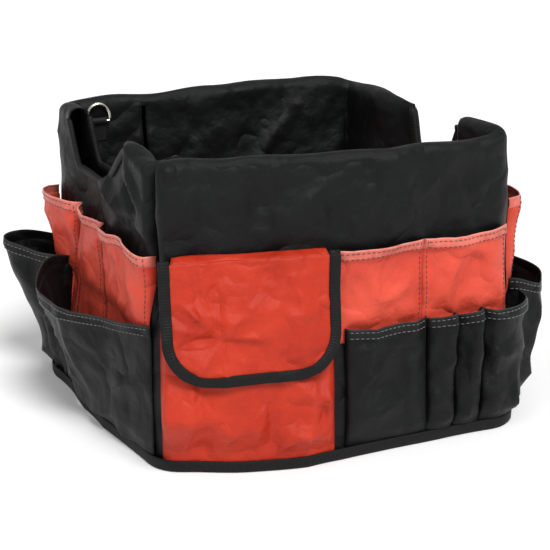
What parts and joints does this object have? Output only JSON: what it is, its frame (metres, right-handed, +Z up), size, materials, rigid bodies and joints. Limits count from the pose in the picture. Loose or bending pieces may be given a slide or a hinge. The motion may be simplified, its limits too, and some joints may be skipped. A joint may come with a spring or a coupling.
{
  "type": "garden tool bag",
  "caption": "Soft garden tool bag that drapes over a bucket's rim: a ring of cloth walls with rows of open pockets outside, a flap pouch and handle slots.",
  "frame": {"origin": "on the floor, under the middle of the bag's bounding box", "axes": "+X along the front, towards its right end; +Y from the front to the back; +Z up"},
  "size_m": [0.3838, 0.295, 0.2362],
  "materials": {
    "black_cloth": "matt coated polyester, fine plain weave",
    "red_cloth": "coral red coated polyester, fine plain weave, slight sheen",
    "black_binding": "ribbed bias tape",
    "black_webbing": "woven webbing",
    "hook_and_loop": "short fuzzy pile",
    "nickel_wire": "nickel-plated steel wire"
  },
  "bodies": {
    "bag": {"back_lower_pocket_1": "black_cloth", "back_lower_pocket_2": "black_cloth", "back_lower_pocket_3": "black_cloth", "back_upper_pocket_1": "red_cloth", "back_upper_pocket_2": "red_cloth", "d_ring_tab": "black_webbing", "flap_hinge_seam": "red_cloth", "flap_pouch": "red_cloth", "front_lower_pocket_1": "black_cloth", "front_lower_pocket_2": "black_cloth", "front_lower_pocket_3": "black_cloth", "front_lower_pocket_4": "black_cloth", "front_upper_pocket_1": "red_cloth", "front_upper_pocket_2": "red_cloth", "hem_binding_back": "black_binding", "hem_binding_front": "black_binding", "hem_binding_left": "black_binding", "hem_binding_right": "black_binding", "inner_pocket_back": "red_cloth", "inner_skirt_back": "black_cloth", "inner_skirt_front": "black_cloth", "left_bellows_pocket_1": "black_cloth", "left_bellows_pocket_2": "black_cloth", "left_upper_pocket_1": "red_cloth", "left_upper_pocket_2": "red_cloth", "left_upper_pocket_3": "red_cloth", "outer_wall_back": "black_cloth", "outer_wall_front": "black_cloth", "outer_wall_left": "black_cloth", "outer_wall_right": "black_cloth", "pouch_hook_patch": "hook_and_loop", "right_bellows_pocket_1": "black_cloth", "right_bellows_pocket_2": "black_cloth", "right_upper_pocket_1": "red_cloth", "right_upper_pocket_2": "red_cloth", "right_upper_pocket_3": "red_cloth", "rim_fold_back": "black_cloth", "rim_fold_front": "black_cloth", "slot_binding_left": "black_binding", "slot_binding_right": "black_binding"},
    "flap": {"flap_lid": "red_cloth", "flap_binding": "black_binding", "flap_loop_patch": "hook_and_loop"},
    "ring": {"d_ring": "nickel_wire"}
  },
  "joints": [
    {"name": "flap_hinge", "type": "hinge", "parent": "bag", "child": "flap", "pos_m": [-0.06797, -0.12396, 0.1645], "axis": [-0.9847, 0.1742, 0], "range_deg": [0, 165]},
    {"name": "d_ring_swivel", "type": "hinge", "parent": "bag", "child": "ring", "pos_m": [-0.1094, 0.1109, 0.2205], "axis": [1, 0, 0], "range_deg": [0, 170]}
  ]
}
